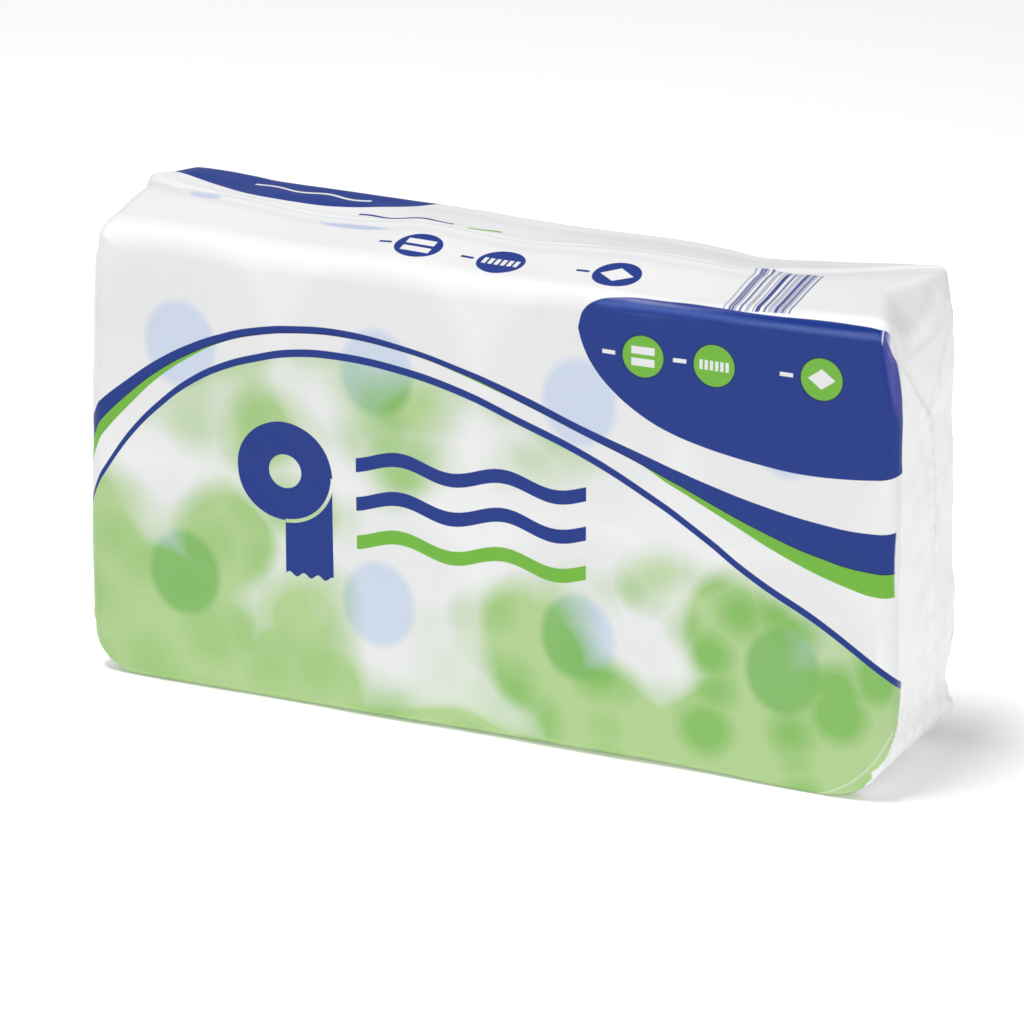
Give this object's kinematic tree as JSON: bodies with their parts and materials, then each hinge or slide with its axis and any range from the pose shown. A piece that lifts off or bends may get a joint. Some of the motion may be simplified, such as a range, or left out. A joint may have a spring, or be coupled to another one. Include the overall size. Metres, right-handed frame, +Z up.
{
  "type": "toilet paper roll pack",
  "caption": "Film pack of toilet paper rolls in two rows, cores facing the front, with folded and welded ends and a lap along the top.",
  "frame": {"origin": "on the ground under the middle of the pack", "axes": "+Z up, X along the pack's length, Y from its front to its back"},
  "size_m": [0.4684, 0.0958, 0.2648],
  "materials": {
    "film": "thin white printed film, glossy",
    "tissue": "soft white tissue, matt",
    "card": "grey-brown spiral-wound card, matt"
  },
  "bodies": {
    "root": {"film_wrap": "film", "roll_bottom_1": "tissue", "roll_bottom_2": "tissue", "roll_bottom_3": "tissue", "roll_bottom_4": "tissue", "roll_top_1": "tissue", "roll_top_2": "tissue", "roll_top_3": "tissue", "roll_top_4": "tissue", "core_bottom_1": "card", "core_bottom_2": "card", "core_bottom_3": "card", "core_bottom_4": "card", "core_top_1": "card", "core_top_2": "card", "core_top_3": "card", "core_top_4": "card"}
  },
  "joints": []
}
